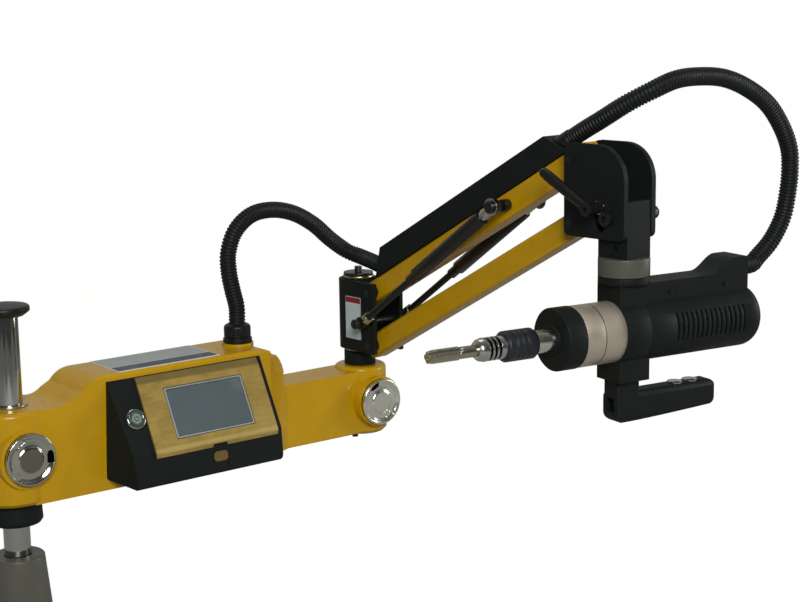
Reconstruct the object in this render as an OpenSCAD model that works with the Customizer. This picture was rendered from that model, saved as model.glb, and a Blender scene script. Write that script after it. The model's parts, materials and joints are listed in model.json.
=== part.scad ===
// Arm tapping machine: a swing arm on a round column carries a sprung parallel
// arm, and a motor head on its end tilts, swivels and drives a tap.
// Millimetres, +Z up. Origin: centre of the base plate's underside.
// At rest the swing arm points along +X and its control panel faces -Y.

/* [Base and column] */
// Side of the square base plate
plate_side = 160; // [130:5:220]
// Thickness of the base plate
plate_t = 20; // [12:1:30]
// Spacing of the four bolt holes
bolt_spacing = 125; // [100:5:180]
// Diameter of the bolt holes
bolt_hole_d = 13.5; // [9:0.5:18]
// Height of the top of the column socket
socket_top_z = 178; // [120:1:190]
// Diameter of the socket's top
socket_top_d = 56; // [44:1:70]
// Diameter of the column rod
rod_d = 28; // [24:1:32]
// Height of the column rod's top
rod_top_z = 439; // [400:1:520]

/* [Swing arm] */
// Distance from the column to the knuckle axis
arm_reach = 457; // [400:1:520]
// Height of the swing arm's underside
arm_z = 239; // [230:1:300]
// Depth of the housing, front to back
house_d = 76; // [64:1:90]
// Height of the housing's top above the arm's underside
house_h = 124; // [110:1:140]
// Depth of the beam beyond the housing
beam_d = 50; // [40:1:60]
// Tilt of the control panel from the vertical
panel_tilt = 28; // [15:1:40]

/* [Parallel arm] */
// Direction of the parallel arm at rest, from the swing arm's direction
arm_turn = -86; // [-120:1:0]
// Rise of the parallel arm at rest
link_rise = 29; // [0:1:45]
// Distance between the pivots of one link
link_len = 364; // [300:1:420]
// Vertical distance between the two links' pivots
pivot_gap = 64; // [56:1:80]
// Depth of a link's tube
link_h = 26; // [20:1:30]
// Width of a link's tube
link_w = 24; // [18:1:28]
// Distance from the upper link's knuckle pivot to the gas springs' upper studs
stud_along = 250; // [200:1:280]

/* [Motor head] */
// Distance from the knuckle axis to the neck axis at rest
head_reach = 412; // [380:1:450]
// Height of the spindle axis
motor_z = 414.5; // [380:0.5:460]
// Direction of the motor from the parallel arm's direction
motor_turn = 78; // [0:1:180]
// Diameter of the motor shell
motor_d = 67; // [60:1:80]
// Length of the handle's grip from the neck axis
grip_len = 112; // [80:1:130]

/* [Hoses] */
// Outer diameter of the ribbed hoses
hose_d = 19; // [15:0.5:20]
// Ribs along the hose to the swing arm
arm_hose_ribs = 104; // [40:1:120]
// Ribs along the hose to the motor
head_hose_ribs = 120; // [40:1:130]

/* [Hidden] */
$fn = 64;
e = 0.01;                              // overlap of joined solids
run = 0.05;                            // radial clearance of a running fit
gap = 0.3;                             // clearance between moving faces
rod_r = rod_d / 2;
knuckle_hole_r = 15;
arm_top_z = arm_z + 100;               // top of the column boss
house_top_z = arm_z + house_h;
beam_bottom_z = arm_z - 3;
beam_top_z = beam_bottom_z + 76;
boss_r = 31;                           // knuckle boss at the beam's end
boss_top_z = beam_top_z + 4;
house_x0 = 92;                         // where the housing's flat top begins
house_x1 = 288;                        // and ends
gland_x = 285;
gland_y = 3;
gland_top_z = house_top_z + 25;
lock_x = rod_r + 18;                   // the arm lock's axis beside the column
lock_z = arm_top_z - 8;
panel_x = 205;                         // centre of the touch screen
panel_y = -60;
panel_z = 315;
panel_left = -78.5;                    // bezel edges from the screen's centre
panel_right = 76;
power_x = -90.5;
power_v = 1.2;
bend_v = -38.5;                        // where the panel's face turns down
function panel_face(v) = [panel_y + v * sin(panel_tilt), panel_z + v * cos(panel_tilt)];
panel_foot = [-81, 247];               // lower front corner of the panel housing
lower_tilt = atan2(panel_face(bend_v).x - panel_foot.x, panel_face(bend_v).y - panel_foot.y);
knuckle_top_z = 421;
knuckle_bottom_z = 337;
fork_r = 23.5;                         // outside of the knuckle bracket
fork_in = 18;                          // half the gap between its side plates
fork_len = 53;
pivot_x = 41.5;                        // link pivots from the knuckle axis
pivot_z = 410;
strut_x = 43;                          // lower ends of the gas springs
strut_z = 375.5;
strut_y = 33;                          // gas springs from the arm's mid plane
stud_r = 4;
cover_h = 28;                          // cable cover above the upper link
cover_w = 28;
cover_x = [13, 38, 333, 355];          // its lower left, upper left, upper right and lower right
cheek_in = 18.3;                       // inside of the head's cheeks
cheek_t = 6.5;
facet_a = atan2(cover_h, cover_x[1] - cover_x[0]);
inlet = [cover_x[0] + 7, link_h / 2 + 7 * tan(facet_a)];     // hose holes in the link's frame
outlet = [cover_x[3] + 2, link_h / 2 + 13];
grommet_r = 10.3;
head_pivot_x = pivot_x + link_len * cos(link_rise);
head_pivot_z = pivot_z + link_len * sin(link_rise);
cheek_x0 = head_pivot_x - 7.5;
cheek_x1 = head_reach + 20;
cheek_z0 = 509;
cheek_z1 = 604;
tilt_z = 531;                          // tilt axis
stud_dx = -11;                         // clamp stud from the tilt axis
stud_dz = 10.5;
slot_r = sqrt(stud_dx * stud_dx + stud_dz * stud_dz);
slot_a = atan2(stud_dz, stud_dx);
block_top_z = 548;
ring_r = 26.5;
ring_top_z = 490;
ring_bottom_z = 471;
clamp_side = 38;                       // square blocks above and below the motor
clamp_top_z = 464;
body_r = 31.5;                         // gear housing
shell_r = motor_d / 2;
shell_x0 = 10;
shell_x1 = 164;
vents = 15;
vent_x0 = 44;
vent_pitch = 6.3;
hump_x = 151;
hump_hole_z = 51.5;
channel_top = 49;                      // cable channel above the spindle axis
post_top = -51;                        // handle below the spindle axis
grip_top = -63.5;
grip_bottom = -96;
button_x = [68, 88];
nose_x = -90;                          // front face of the front collar
spindle_r = 11.5;
chuck_r = 11.8;
tap_r = 5.9;                            // shank of the tap
rib_depth = 1;
hose_r = hose_d / 2;
hose_bore_r = 6;

// ---- places ----------------------------------------------------------------

// The knuckle's frame: x along the parallel arm, -y the near side.
module at_knuckle() { translate([arm_reach, 0, 0]) rotate(arm_turn) children(); }

// A link's frame: origin on its knuckle pivot, x along the link.
module on_link(z) {
    at_knuckle() translate([pivot_x, 0, z]) rotate([0, -link_rise, 0]) children();
}

// The tilt axis's frame, turned like the knuckle's.
module at_tilt() { at_knuckle() translate([head_reach, 0, tilt_z]) children(); }

// The motor's frame: x along the spindle axis to the rear, -y the near side.
module at_motor() {
    at_knuckle() translate([head_reach, 0, motor_z]) rotate(motor_turn) children();
}

// The panel's frame: x to the right, y up the slope, z out of the panel.
module on_panel() {
    translate([panel_x, panel_y, panel_z]) rotate([90 - panel_tilt, 0, 0]) children();
}

// The face below the panel's bend: x to the right, y up the slope, z out of it.
module on_lower_face() {
    translate([panel_x, panel_face(bend_v).x, panel_face(bend_v).y])
        rotate([90 - lower_tilt, 0, 0]) children();
}

// A gas spring's frame: origin on its lower eye, x along the spring.
strut_top_x = pivot_x + stud_along * cos(link_rise);
strut_top_z = pivot_z + stud_along * sin(link_rise);
strut_len = norm([strut_top_x - strut_x, strut_top_z - strut_z]);
strut_rise = atan2(strut_top_z - strut_z, strut_top_x - strut_x);
module on_strut(side) {
    at_knuckle() translate([strut_x, side * strut_y, strut_z])
        rotate([0, -strut_rise, 0]) children();
}

// ---- shared shapes -----------------------------------------------------------

// A cylinder along x from x0 to x1.
module rod_x(r, x0, x1) { translate([x0, 0, 0]) rotate([0, 90, 0]) cylinder(r = r, h = x1 - x0); }

// A cylinder along y from y0 to y1.
module rod_y(r, y0, y1) { translate([0, y0, 0]) rotate([-90, 0, 0]) cylinder(r = r, h = y1 - y0); }

// A tube along z.
module tube(ro, ri, h) {
    difference() {
        cylinder(r = ro, h = h);
        translate([0, 0, -e]) cylinder(r = ri, h = h + 2 * e);
    }
}

// A rectangle w by d with round corners, centred.
module round_rect(w, d, r) {
    square([w - 2 * r, d], center = true);
    square([w, d - 2 * r], center = true);
    for (sx = [-1, 1], sy = [-1, 1]) translate([sx * (w / 2 - r), sy * (d / 2 - r)]) circle(r);
}

// An x-z outline, made d deep about y = 0.
module slab_xz(points, d) {
    rotate([90, 0, 0]) linear_extrude(d, center = true) polygon(points);
}

// A round-cornered bar along x from x0 to x1, w wide and h high about its axis.
module bar_x(x0, x1, w, h, r) {
    translate([x0, 0, 0]) rotate([90, 0, 90]) linear_extrude(x1 - x0) round_rect(w, h, r);
}

// Points on an arc about [cx, cy].
function arc(cx, cy, r, a0, a1, n = 8) =
    [for (i = [0:n]) let (a = a0 + (a1 - a0) * i / n) [cx + r * cos(a), cy + r * sin(a)]];

// ---- base and column ---------------------------------------------------------

module base_plate() {
    color("dimgray") difference() {
        linear_extrude(plate_t) round_rect(plate_side, plate_side, 14);
        for (x = [-1, 1], y = [-1, 1])
            translate([x * bolt_spacing / 2, y * bolt_spacing / 2, -1])
                cylinder(d = bolt_hole_d, h = plate_t + 2);
        translate([0, 0, plate_t / 2]) cylinder(r = rod_r + run, h = plate_t);
    }
}

// The turned cone that holds the column, with a foot and a fine top chamfer.
module column_socket() {
    foot_r = 54;
    foot_t = 9;
    base_r = 41;
    color("gray") rotate_extrude($fn = 96) polygon(concat(
        [[rod_r + run, plate_t], [foot_r, plate_t], [foot_r, plate_t + foot_t - 2],
         [foot_r - 2, plate_t + foot_t], [base_r + 6, plate_t + foot_t]],
        arc(base_r + 6, plate_t + foot_t + 6, 6, 270, 185, 5),
        [[socket_top_d / 2, socket_top_z - 1.5], [socket_top_d / 2 - 1.5, socket_top_z],
         [rod_r + 1.2, socket_top_z], [rod_r + run, socket_top_z - 1.2]]));
}

module column_rod() {
    chamfer = 2;
    color("silver") rotate_extrude() polygon([[0, plate_t / 2 + 1], [rod_r, plate_t / 2 + 1],
        [rod_r, rod_top_z - chamfer], [rod_r - chamfer, rod_top_z], [0, rod_top_z]]);
}

// The mushroom-shaped plastic cap pressed on the rod's end.
module column_cap() {
    cap_r = 26.5;
    under_z = rod_top_z - 4;
    color([0.1, 0.1, 0.1]) rotate_extrude($fn = 96) polygon(concat(
        [[0, rod_top_z], [rod_r + run, rod_top_z], [rod_r + run, under_z],
         [cap_r - 6, under_z], [cap_r, under_z + 4.5]],
        arc(cap_r - 3, under_z + 7.5, 3, 0, 75, 5),
        [[cap_r - 9, under_z + 11.2], [0, under_z + 11.6]]));
}

// The collar that carries the arm: the arm rests and turns on it.
module support_collar() {
    top_z = arm_z - 2;
    bottom_z = arm_z - 25;
    color([0.15, 0.16, 0.16]) difference() {
        rotate_extrude($fn = 96) polygon([[rod_r + run, bottom_z], [26.5, bottom_z],
            [28.5, bottom_z + 3], [27.5, top_z - 1], [26.5, top_z], [rod_r + run, top_z]]);
        translate([0, 0, arm_z - 14]) rod_y(3.2, 18, 30);
    }
}

// ---- swing arm ---------------------------------------------------------------

// Side outline of the casting: boss, S-shaped rise, flat top, round fall, beam.
function casting_side() = concat(
    [[0, arm_z], [arm_reach, beam_bottom_z], [arm_reach, beam_top_z],
     [house_x1 + 42, beam_top_z]],
    arc(house_x1 + 46, beam_top_z + 10, 10, 255, 205, 5),
    arc(house_x1 - 4, house_top_z - 44, 44, 14, 90, 12),
    arc(house_x0, house_top_z - 34, 34, 90, 142, 8),
    arc(38, arm_top_z + 24, 25, 312, 268, 8),
    [[0, arm_top_z]]);

module arm_casting() {
    color("goldenrod") difference() {
        union() {
            // the column boss, rounded at its rims
            rotate_extrude($fn = 96) polygon(concat([[0, arm_z], [36, arm_z], [40, arm_z + 4]],
                arc(34, arm_top_z - 6, 6, 0, 90, 6), [[0, arm_top_z]]));
            // the housing, then the narrower beam, both inside the side outline
            intersection() {
                slab_xz(casting_side(), 2 * house_d);
                union() {
                    translate([0, 0, arm_z + house_h / 2 - 3])
                        bar_x(6, house_x1 + 14, house_d, house_h + 6, 4);
                    translate([0, 0, arm_z + house_h / 2 - 3])
                        bar_x(house_x1, arm_reach, beam_d, house_h + 6, 6);
                    linear_extrude(beam_top_z + 40) polygon([[house_x1 + 13.9, -house_d / 2],
                        [house_x1 + 44, -beam_d / 2], [house_x1 + 44, beam_d / 2],
                        [house_x1 + 13.9, house_d / 2]]);
                }
            }
            // the knuckle boss, slightly proud of the beam
            translate([arm_reach, 0, 0]) rotate_extrude($fn = 96) polygon(concat(
                [[0, beam_bottom_z - 2], [27, beam_bottom_z - 2], [boss_r, beam_bottom_z + 2]],
                arc(boss_r - 5, boss_top_z - 5, 5, 0, 90, 6), [[0, boss_top_z]]));
            // round seats of the two bearing caps
            translate([0, 0, arm_z + 51]) rod_y(32, -41, 0);
            translate([arm_reach, 0, arm_z + 36]) rod_y(30, -38, 0);
            // pad under the hose gland
            translate([gland_x, gland_y, house_top_z - 40]) cylinder(r = 18, h = 43);
            // lug of the column clamp
            translate([lock_x, 0, lock_z - 8]) rod_y(15, 20, house_d / 2 + 4);
        }
        translate([0, 0, arm_z - 10]) cylinder(r = rod_r + 3, h = 140);
        translate([arm_reach, 0, arm_z + 3]) cylinder(r = knuckle_hole_r, h = 100);
        translate([lock_x, 0, lock_z - 8]) rod_y(4 + run, 18, 60);
        // seats cut in the front for the caps' stems
        translate([0, 0, arm_z + 51]) rod_y(12 + run, -60, -30);
        translate([arm_reach, 0, arm_z + 36]) rod_y(12 + run, -60, -28);
        // seat of the hose gland and of the panel's button
        translate([gland_x, gland_y, house_top_z - 5]) cylinder(r = 10 + run, h = 40);
    }
}

// Two flanged bushes: the lower flange is the thrust washer on the collar.
module column_bushes() {
    color("silver") {
        translate([0, 0, arm_top_z - 14]) tube(rod_r + 3, rod_r + run, 16.5);
        translate([0, 0, arm_top_z]) tube(19, rod_r + run, 2.5);
        translate([0, 0, arm_z - 1.7]) tube(rod_r + 3, rod_r + run, 30);
        translate([0, 0, arm_z - 1.7]) tube(27, rod_r + run, 1.7);
    }
}

// A turned steel cap facing -y: raised rim, dished ring with three slots, centre disc.
module bearing_cap(turn) {
    rim_r = 27.7;
    rotate([90, 0, 0]) difference() {
        union() {
            rotate_extrude($fn = 96) polygon(concat([[0, 0], [rim_r, 0]],
                arc(rim_r - 1.5, 4, 1.5, 0, 110, 5),
                [[21.5, 2.6], [14.5, 3.4], [13, 5], [0, 5]]));
            translate([0, 0, -8]) cylinder(r = 12, h = 9);
        }
        for (a = [0, 120, 240]) rotate(a + turn) intersection() {
            translate([0, 0, 1.2]) tube(21.3, 15, 6);
            translate([0, -3, 0]) cube([30, 6, 8]);
        }
    }
}
module bearing_cap_left() {
    color("gainsboro") translate([0, -41, arm_z + 51]) bearing_cap(5);
}
module bearing_cap_right() {
    color("gainsboro") translate([arm_reach, -38, arm_z + 36]) bearing_cap(100);
}

// Everything beyond the plane through three points, up to 60 away from it.
module cut_beyond(a, b, c) {
    n = cross(b - a, c - a);
    translate(a) rotate([0, acos(n.z / norm(n)), atan2(n.y, n.x)]) translate([-200, -200, 0])
        cube([400, 400, 60]);
}

// The black wedge-shaped housing, its left side slanted and lower edge rounded.
module panel_housing() {
    x0 = 89;
    x1 = 287;
    front = house_d / 2;
    color([0.2, 0.22, 0.21]) difference() {
        translate([x0, 0, 0]) rotate([90, 0, 90]) linear_extrude(x1 - x0) polygon(concat(
            [[-front, 251], panel_face((-front - panel_y) / sin(panel_tilt)), panel_face(bend_v)],
            arc(panel_foot.x + 4, panel_foot.y + 1, 4, 190, 262, 5)));
        // the left side's two slanted planes
        cut_beyond([93, -front, 357], [88.5, -front, 250], [99.3, -77, 283]);
        cut_beyond([88.5, -front, 250], [103.5, -81, 244], [99.3, -77, 283]);
        // round lower right corner
        translate([x1 - 12, -120, 240]) difference() {
            translate([0, 0, -10]) cube([20, 90, 22]);
            translate([0, -1, 12]) rod_y(12, 0, 92);
            translate([-1, -1, 12]) cube([30, 100, 30]);
        }
        on_panel() translate([power_x, power_v, -16]) cylinder(r = 9.5, h = 40);
    }
}

// The bent bezel plate with its window, sloped top band and curled lower edge.
module panel_bezel() {
    w = panel_right - panel_left;
    color("darkkhaki") on_panel() difference() {
        translate([panel_left, 0, 0]) rotate([90, 0, 90]) linear_extrude(w) polygon(concat(
            [[bend_v, 0], [36, 0], [45, 0], [45.5, 1.2], [36, 2.6]],
            arc(bend_v, -3.4, 6, 90, 146, 6),
            [[bend_v - 6.4, -1.4], [bend_v - 5.6, -1.1]]));
        translate([-50, -29, -5]) cube([100, 58, 12]);
        translate([-8.2, -50, -8]) cube([17.8, 8, 12]);
    }
}

module screen_frame() {
    color("silver") on_panel() difference() {
        linear_extrude(2.3) round_rect(98, 56.5, 0.8);
        translate([0, 0, -1]) linear_extrude(6) round_rect(95, 53.5, 0.6);
    }
}

module screen_glass() {
    color([0.45, 0.5, 0.55]) on_panel() linear_extrude(1.7) round_rect(94, 52.5, 0.5);
}

// Push-button body: chrome bezel outside, threaded barrel behind.
module power_ring() {
    color("silver") on_panel() translate([power_x, power_v, 0]) rotate_extrude() polygon([[8, -14],
        [9.45, -14], [9.45, 0], [11.6, 0], [11.6, 1.4], [10.4, 2.8], [8, 2.8]]);
}

module power_button() {
    color([0.55, 0.6, 0.55]) on_panel() translate([power_x, power_v, 0]) rotate_extrude() polygon([
        [0, -10], [8 - run, -10], [8 - run, 2.6], [7.2, 3.2], [0, 3.2]]);
}

// The small tab under the bezel's notch.
module port_tab() {
    color("khaki") on_lower_face() translate([0.7, -17.5, 0.02]) linear_extrude(1.2)
        round_rect(17.5, 11, 4.5);
}

// A small screw beside the tab, and the set screw under the knuckle boss.
module arm_screws() {
    color([0.5, 0.5, 0.5]) on_lower_face() translate([12.5, -27, 0.02]) cylinder(r = 2.3, h = 1.4);
    color("black") translate([arm_reach - 20, -14, beam_bottom_z - 5.5]) cylinder(r = 3.6, h = 3.5);
}

// Bare identification plate on the housing's top.
module top_plate() {
    color([0.6, 0.62, 0.64]) translate([175, 0, house_top_z]) linear_extrude(0.8)
        round_rect(127, 67, 2);
}

// Hose gland: flange, then a domed nut with a grooved skirt.
module hose_gland() {
    z = house_top_z + 3;
    color([0.12, 0.13, 0.13]) translate([gland_x, gland_y, z]) difference() {
        rotate_extrude() polygon(concat([[hose_bore_r, -8], [10, -8], [10, 0], [16.5, 0],
            [16.5, 5], [15.5, 6], [13.5, 6], [13.5, 7.5], [15.3, 7.5], [15.3, 17]],
            arc(11.3, 17, 4, 0, 80, 5), [[10.5, 22], [hose_bore_r, 22]]));
        for (i = [0:11]) rotate(i * 30) translate([15.9, 0, 8.5]) cylinder(r = 1.2, h = 9, $fn = 24);
    }
}

// Star knob of the column clamp, behind the arm.
module arm_lock_knob() {
    lobes = 6;
    color([0.1, 0.1, 0.1]) translate([lock_x, 0, lock_z - 8]) {
        rod_y(4, 22, 54);
        translate([0, 46.5, 0]) rotate([-90, 0, 0]) difference() {
            cylinder(r = 13, h = 13);
            for (i = [0:lobes - 1]) rotate(i * 360 / lobes) translate([16.5, 0, -1])
                cylinder(r = 5.5, h = 16);
        }
    }
}

// ---- knuckle -----------------------------------------------------------------

module knuckle_shaft() {
    color([0.18, 0.2, 0.19]) translate([arm_reach, 0, 0]) rotate_extrude() polygon([
        [0, arm_z + 6], [knuckle_hole_r - run, arm_z + 6],
        [knuckle_hole_r - run, boss_top_z + gap], [18.8, boss_top_z + gap],
        [18.8, knuckle_bottom_z - 4], [10, knuckle_bottom_z - 4],
        [10, knuckle_top_z + 3.5], [0, knuckle_top_z + 3.5]]);
}

// Zinc-plated rings below and above the bracket.
module knuckle_rings() {
    color([0.8, 0.75, 0.5]) translate([arm_reach, 0, 0]) {
        translate([0, 0, knuckle_bottom_z - 4]) tube(17.6, 10, 4);
        translate([0, 0, knuckle_top_z]) tube(18.6, 10, 3.5);
    }
}

// The fork: a block round the shaft, and two side plates that carry the links.
module knuckle_bracket() {
    h = knuckle_top_z - knuckle_bottom_z;
    color([0.2, 0.22, 0.21]) at_knuckle() difference() {
        union() {
            translate([0, 0, knuckle_bottom_z]) cylinder(r = fork_r, h = h, $fn = 96);
            translate([0, -fork_r, knuckle_bottom_z]) cube([fork_len, 2 * fork_r, h]);
        }
        translate([14, -fork_in, knuckle_bottom_z - 1]) cube([fork_len, 2 * fork_in, h + 2]);
        translate([0, 0, knuckle_bottom_z - 1]) cylinder(r = 10, h = h + 2);
        for (z = [pivot_z, pivot_z - pivot_gap]) translate([pivot_x, 0, z]) rod_y(5 + run, -30, 30);
        translate([strut_x, 0, strut_z]) rod_y(stud_r + run, -30, 30);
    }
}

// Top disc with the post that steadies the hose.
module knuckle_disc() {
    color([0.2, 0.2, 0.2]) translate([arm_reach, 0, knuckle_top_z + 3.5]) {
        cylinder(r = 17.6, h = 3.5);
        translate([0, 0, 3]) cylinder(r = 4.5, h = 7);
    }
}

// A pivot bolt along y, flush but for a small boss on the near side, with a nut on the
// far side and a spacer ring on each side of the link.
module pivot_pin(r, inside, outside) {
    rod_y(r, -outside, outside + 1);
    rod_y(r - 1.3, -outside - 1, -outside + 1);
    translate([0, outside, 0]) rotate([-90, 0, 0]) cylinder(r = r + 4, h = 5, $fn = 6);
    for (s = [-1, 1]) translate([0, s * (inside + link_w / 2 + gap) / 2, 0])
        rod_y(r + 3, -(inside - link_w / 2 - gap) / 2, (inside - link_w / 2 - gap) / 2);
}

module knuckle_pins() {
    color([0.3, 0.3, 0.3]) at_knuckle() for (z = [pivot_z, pivot_z - pivot_gap])
        translate([pivot_x, 0, z]) pivot_pin(5, fork_in, fork_r);
}

// The bar through the fork whose ends carry the gas springs' lower eyes.
module spring_cross_rod() {
    color("silver") at_knuckle() translate([strut_x, 0, strut_z]) {
        rod_y(stud_r, -strut_y - 6, strut_y + 6);
        for (s = [-1, 1]) translate([0, s * (strut_y + 7.5), 0]) rod_y(5.5, -2.8, 2.8);
    }
}

// Bare plate on the fork's near side.
module knuckle_plate() {
    color("gainsboro") at_knuckle() translate([17, -fork_r, 377]) rotate([90, 0, 0])
        linear_extrude(0.8) round_rect(27, 51, 1.5);
}

// ---- parallel arm ------------------------------------------------------------

// A rectangular tube with a cross hole at each pivot.
module link_tube(wall) {
    end = 12;
    difference() {
        bar_x(-end, link_len + end, link_w, link_h, 3);
        bar_x(-end - 1, link_len + end + 1, link_w - 2 * wall, link_h - 2 * wall, 1);
        for (x = [0, link_len]) translate([x, 0, 0]) rod_y(5 + run, -20, 20);
    }
}

module upper_link() { color("goldenrod") on_link(pivot_z) link_tube(3); }
module lower_link() { color("goldenrod") on_link(pivot_z - pivot_gap) link_tube(3); }

// The folded sheet cover over the cables, closed at its slanted ends.
module cable_cover() {
    wall = 1.5;
    z0 = link_h / 2;
    z1 = z0 + cover_h;
    inner = 3;
    color([0.2, 0.22, 0.21]) on_link(pivot_z) difference() {
        slab_xz([[cover_x[0], z0], [cover_x[1], z1], [cover_x[2], z1], [cover_x[3], z0]], cover_w);
        slab_xz([[cover_x[0] + inner, z0 - 1], [cover_x[1] + 1, z1 - wall],
            [cover_x[2] - 1, z1 - wall], [cover_x[3] - inner, z0 - 1]], cover_w - 2 * wall);
        // hose holes: square to the left end, along the link at the right end
        translate([inlet.x, 0, inlet.y]) rotate([0, -facet_a, 0])
            cylinder(r = hose_bore_r, h = 12, center = true);
        translate([cover_x[3] - 30, 0, outlet.y]) rod_x(grommet_r, 0, 40);
    }
}

// Rubber grommet round the hose where it leaves the cover.
module cover_grommet() {
    color([0.1, 0.1, 0.1]) on_link(pivot_z) translate([outlet.x, 0, outlet.y]) difference() {
        rod_x(grommet_r, -22, 0);
        rod_x(hose_bore_r, -24, 2);
    }
}

// Bosses on the upper link that face the gas springs' upper studs.
module spring_bosses() {
    color([0.15, 0.15, 0.15]) on_link(pivot_z) translate([stud_along, 0, 0])
        for (s = [-1, 1]) rotate([0, 0, s > 0 ? 0 : 180]) rod_y(6.5, link_w / 2, link_w / 2 + 9);
}

// ---- gas springs ---------------------------------------------------------------

// Eye about the y axis.
module eye(ri) {
    rotate([90, 0, 0]) translate([0, 0, -4]) tube(7.5, ri, 8);
}

module gas_rod(side) {
    color([0.3, 0.3, 0.3]) on_strut(side) {
        eye(stud_r + run);
        rod_x(4.6, 7, 17);
        rod_x(3.95, 15, 205);
    }
}

module gas_tube(side) {
    ferrule_x = 103;
    tube_x = 118;
    color([0.15, 0.16, 0.16]) on_strut(side) {
        difference() {
            union() {
                rod_x(5.9, ferrule_x, tube_x + 1);
                rod_x(8, tube_x, strut_len - 22);
                rod_x(5.5, strut_len - 23, strut_len - 6);
            }
            rod_x(4, ferrule_x - 1, strut_len - 26);
        }
        translate([strut_len, 0, 0]) {
            rod_y(7.5, -4, 4);
            rod_y(stud_r, side > 0 ? -strut_y + link_w / 2 + 9 + gap : -9,
                side > 0 ? 9 : strut_y - link_w / 2 - 9 - gap);
            rod_y(6, side > 0 ? 4 : -9, side > 0 ? 9 : -4);
        }
    }
}

module gas_rod_near() { gas_rod(-1); }
module gas_rod_far() { gas_rod(1); }
module gas_tube_near() { gas_tube(-1); }
module gas_tube_far() { gas_tube(1); }

// ---- head bracket --------------------------------------------------------------

// Outline of a cheek in x-z, with the large round corner over the tilting block.
function cheek_side() = concat(
    arc(cheek_x0 + 6, cheek_z0 + 6, 6, 180, 270, 5),
    arc(cheek_x1 - 7, cheek_z0 + 7, 7, 270, 360, 5),
    arc(cheek_x1 - 36, cheek_z1 - 36, 36, 0, 90, 12),
    arc(cheek_x0 + 10, cheek_z1 - 10, 10, 90, 180, 5));

// The welded bracket: two cheeks and the web between them.
module head_bracket() {
    outer = cheek_in + cheek_t;
    web_x = head_pivot_x + 18.6;
    color([0.2, 0.22, 0.21]) at_knuckle() difference() {
        union() {
            for (s = [-1, 1]) translate([0, s * (cheek_in + cheek_t / 2), 0])
                slab_xz(cheek_side(), cheek_t);
            translate([web_x, -cheek_in - 1, cheek_z0]) cube([3.6, 2 * cheek_in + 2, cheek_z1 - cheek_z0 - 6]);
        }
        for (z = [head_pivot_z, head_pivot_z - pivot_gap])
            translate([head_pivot_x, 0, z]) rod_y(5, -30, 30);
        translate([head_reach, 0, tilt_z]) rod_y(6, -30, 30);
        // arc slot of the clamp stud, in the near cheek
        translate([head_reach, -cheek_in + 1, tilt_z]) rotate([90, 0, 0]) {
            rotate([0, 0, slot_a]) rotate_extrude(angle = 92) translate([slot_r - 3.8, -1]) square([7.6, 12]);
            for (a = [slot_a, slot_a + 92]) rotate(a) translate([slot_r, 0, -1]) cylinder(r = 3.8, h = 12);
        }
    }
}

module head_pins() {
    color([0.3, 0.3, 0.3]) at_knuckle() for (z = [head_pivot_z, head_pivot_z - pivot_gap])
        translate([head_pivot_x, 0, z]) pivot_pin(5, cheek_in, cheek_in + cheek_t);
}

// The bolt that the head tilts on, with its large round head on the near side.
module tilt_bolt() {
    outer = cheek_in + cheek_t;
    color([0.12, 0.12, 0.12]) at_tilt() {
        rod_y(6, -outer - 1, outer + 13);
        rotate([90, 0, 0]) translate([0, 0, outer]) difference() {
            cylinder(r1 = 7.6, r2 = 7.2, h = 7);
            translate([0, 0, 3.5]) cylinder(r = 3.5, h = 5, $fn = 6);
        }
    }
}

// ---- tilting neck --------------------------------------------------------------

module tilt_block() {
    half = cheek_in - gap;
    depth = 38;
    color([0.2, 0.22, 0.21]) at_knuckle() translate([head_reach, 0, 0]) difference() {
        translate([-depth / 2, -half, ring_top_z]) cube([depth, 2 * half, block_top_z - ring_top_z]);
        translate([0, 0, tilt_z]) rod_y(6 + run, -40, 40);
        translate([stud_dx, 0, tilt_z + stud_dz]) rod_y(3.5, -40, -4);
        translate([0, 0, ring_top_z - 1]) cylinder(r = 11 + run, h = 21);
        translate([4, 0, ring_top_z + 10]) rod_y(2.6, -40, -half + 3);
    }
}

// Grey swivel ring under the neck.
module swivel_ring() {
    color([0.5, 0.52, 0.5]) at_knuckle() translate([head_reach, 0, 0]) rotate_extrude($fn = 96) polygon([
        [11 + run, ring_bottom_z], [ring_r - 0.6, ring_bottom_z], [ring_r, ring_bottom_z + 0.6],
        [ring_r, ring_top_z - 0.6], [ring_r - 0.6, ring_top_z], [11 + run, ring_top_z]]);
}

// The stud that passes through the arc slot, with its chrome washer.
module clamp_stud() {
    outer = cheek_in + cheek_t;
    color("silver") at_tilt() translate([stud_dx, 0, stud_dz]) {
        rod_y(3.5, -outer - 14, -4);
        rod_y(7.2, -outer - gap - 1.6, -outer - gap);
    }
}

// The clamp lever: a hub on the stud and a tapering arm with a round end.
module clamp_lever() {
    outer = cheek_in + cheek_t;
    y0 = -outer - gap - 1.6 - gap;
    len = 63.4;
    rise = 148.5;
    color([0.13, 0.13, 0.14]) at_tilt() translate([stud_dx, 0, stud_dz]) {
        difference() {
            translate([0, y0 - 21, 0]) rotate([-90, 0, 0]) cylinder(r1 = 7.2, r2 = 6, h = 21);
            rod_y(3.5 + run, y0 - 14, y0 + 1);
            rod_y(2.6, y0 - 22, y0 - 18);
        }
        translate([0, y0 - 16, 0]) rotate([0, -rise, 0]) difference() {
            hull() {
                rod_x(4.9, 2, 14);
                translate([len - 12, -5, 0]) rod_x(5.6, 0, 6);
                translate([len, -5.4, 0]) sphere(r = 5.2, $fn = 32);
            }
            rod_y(7, -30, 30);
        }
    }
}

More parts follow.
